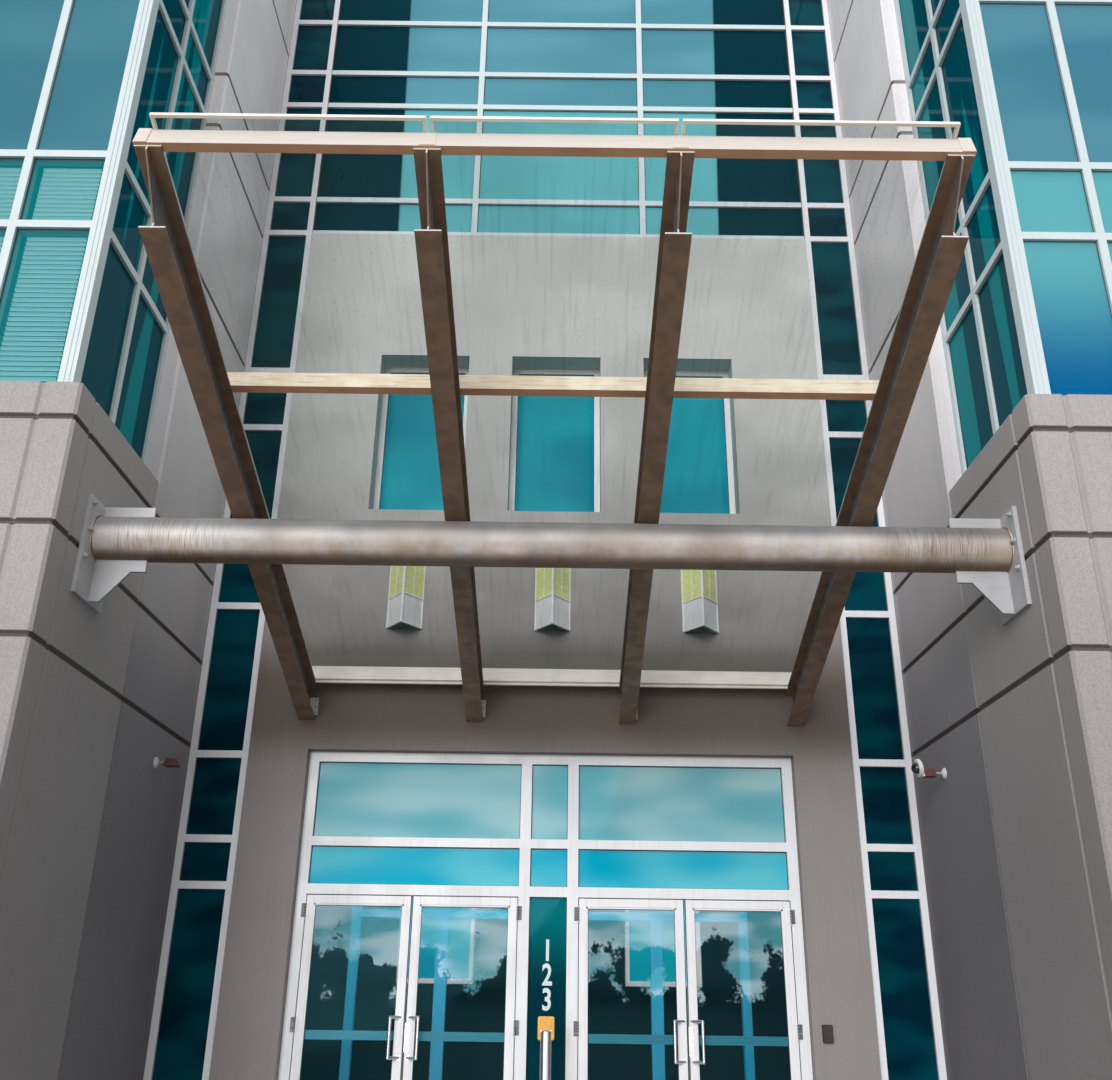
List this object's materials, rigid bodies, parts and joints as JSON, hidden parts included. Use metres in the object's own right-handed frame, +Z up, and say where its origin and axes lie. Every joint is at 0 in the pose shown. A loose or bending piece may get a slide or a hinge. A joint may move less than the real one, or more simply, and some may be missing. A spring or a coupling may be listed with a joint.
{
  "type": "office building entrance bay",
  "caption": "Recessed office entrance with glazed double swing doors, a sloping glass canopy on a pipe beam and side wings with corner glazing.",
  "frame": {"origin": "on the ground at the foot of the entrance wall's outer face, midway between the two return walls", "axes": "+Z up, +Y into the building, +X to the right as seen from the street"},
  "size_m": [10.5, 9.8142, 14.01],
  "materials": {
    "concrete": "matte",
    "stucco": "matte",
    "stone_panel": "matte",
    "white_frame": "satin",
    "tinted_glass": "gloss",
    "door_frame": "satin",
    "stainless": "satin",
    "grey_steel": "satin",
    "weathered_steel": "matte",
    "cream_metal": "satin",
    "clear_glass": "gloss",
    "light_panel": "satin",
    "camera_housing": "satin",
    "reader_case": "matte",
    "post_steel": "satin"
  },
  "bodies": {
    "building": {"ground_floor": "concrete", "second_floor": "concrete", "third_floor": "concrete", "roof_slab": "concrete", "parapet": "stucco", "entrance_wall_left": "stucco", "entrance_wall_right": "stucco", "entrance_wall_over": "stucco", "pier_left": "stone_panel", "pier_right": "stone_panel", "return_wall_left": "stucco", "return_wall_right": "stucco", "party_wall_left": "stucco", "party_wall_right": "stucco", "rear_wall": "stucco", "coping": "white_frame", "inner_screen": "white_frame", "glass_box_frame_left": "white_frame", "glass_box_frame_right": "white_frame", "glass_box_side_frame_left": "white_frame", "glass_box_side_frame_right": "white_frame", "glass_box_panes_left": "tinted_glass", "glass_box_panes_right": "tinted_glass", "glazing_strip_frames": "white_frame", "glazing_strip_panes": "tinted_glass", "curtain_wall_frame": "white_frame", "curtain_wall_panes": "tinted_glass", "window_frames": "white_frame", "window_panes": "tinted_glass", "storefront_frame": "white_frame", "storefront_panes": "tinted_glass", "pipe_beam": "grey_steel", "pipe_bracket_left": "grey_steel", "pipe_bracket_right": "grey_steel", "rafter_1": "weathered_steel", "rafter_2": "weathered_steel", "rafter_3": "weathered_steel", "rafter_4": "weathered_steel", "rafter_wall_clips": "weathered_steel", "fascia_beam": "cream_metal", "middle_purlin": "cream_metal", "rear_purlin": "cream_metal", "canopy_glass": "clear_glass", "canopy_glass_frames": "cream_metal", "wall_lights": "light_panel", "wall_cameras": "camera_housing", "card_reader": "reader_case", "opener_post": "post_steel"},
    "door_1": {"door_leaf_1": "door_frame", "door_glass_1": "tinted_glass", "door_handles_1": "stainless"},
    "door_2": {"door_leaf_2": "door_frame", "door_glass_2": "tinted_glass", "door_handles_2": "stainless"},
    "door_3": {"door_leaf_3": "door_frame", "door_glass_3": "tinted_glass", "door_handles_3": "stainless"},
    "door_4": {"door_leaf_4": "door_frame", "door_glass_4": "tinted_glass", "door_handles_4": "stainless"}
  },
  "joints": [
    {"name": "door_1_swing", "type": "hinge", "parent": "building", "child": "door_1", "pos_m": [-2.0841, 0.088, 0.12], "axis": [0, 0, -1], "range_deg": [0, 90]},
    {"name": "door_2_swing", "type": "hinge", "parent": "building", "child": "door_2", "pos_m": [-0.2601, 0.088, 0.12], "axis": [0, 0, 1], "range_deg": [0, 90]},
    {"name": "door_3_swing", "type": "hinge", "parent": "building", "child": "door_3", "pos_m": [0.2601, 0.088, 0.12], "axis": [0, 0, -1], "range_deg": [0, 90]},
    {"name": "door_4_swing", "type": "hinge", "parent": "building", "child": "door_4", "pos_m": [2.0841, 0.088, 0.12], "axis": [0, 0, 1], "range_deg": [0, 90]}
  ]
}
